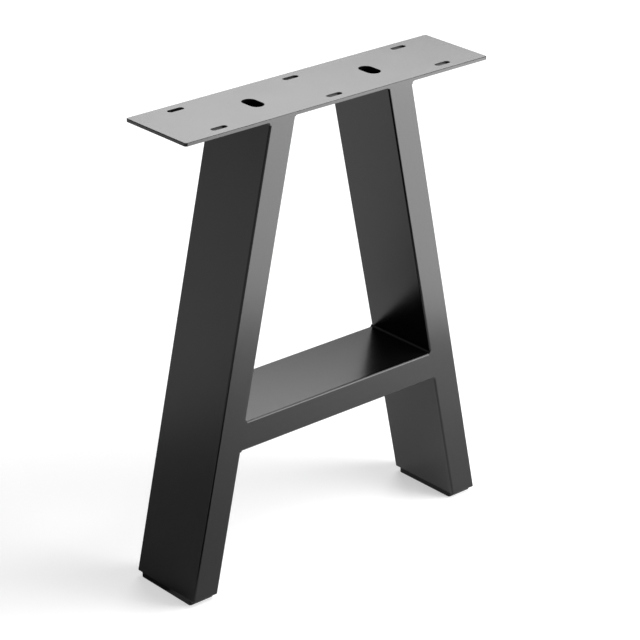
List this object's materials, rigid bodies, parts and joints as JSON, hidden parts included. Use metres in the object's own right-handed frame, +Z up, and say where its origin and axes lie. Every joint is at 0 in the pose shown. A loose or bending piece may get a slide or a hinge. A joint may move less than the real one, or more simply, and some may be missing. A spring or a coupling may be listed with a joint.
{
  "type": "trestle table leg",
  "caption": "A-shaped black steel table leg of flat rectangular tube, with a slotted top plate for screwing under a table top, a crossbar and plastic feet.",
  "frame": {"origin": "on the floor, under the middle of the top plate", "axes": "+X along the top plate, from the left leg to the right leg; +Y across the plate, from the side that faces the camera to the back; +Z up, out of the top plate"},
  "size_m": [0.5706, 0.134, 0.725],
  "materials": {
    "coated_steel": "satin black powder coat",
    "foot_plastic": "matt black moulded plastic"
  },
  "bodies": {
    "root": {"top_plate": "coated_steel", "left_leg_tube": "coated_steel", "right_leg_tube": "coated_steel", "crossbar_tube": "coated_steel", "left_crossbar_weld": "coated_steel", "right_crossbar_weld": "coated_steel", "left_plate_weld_outer": "coated_steel", "left_plate_weld_inner": "coated_steel", "right_plate_weld_outer": "coated_steel", "right_plate_weld_inner": "coated_steel", "left_foot_insert": "foot_plastic", "right_foot_insert": "foot_plastic"}
  },
  "joints": []
}
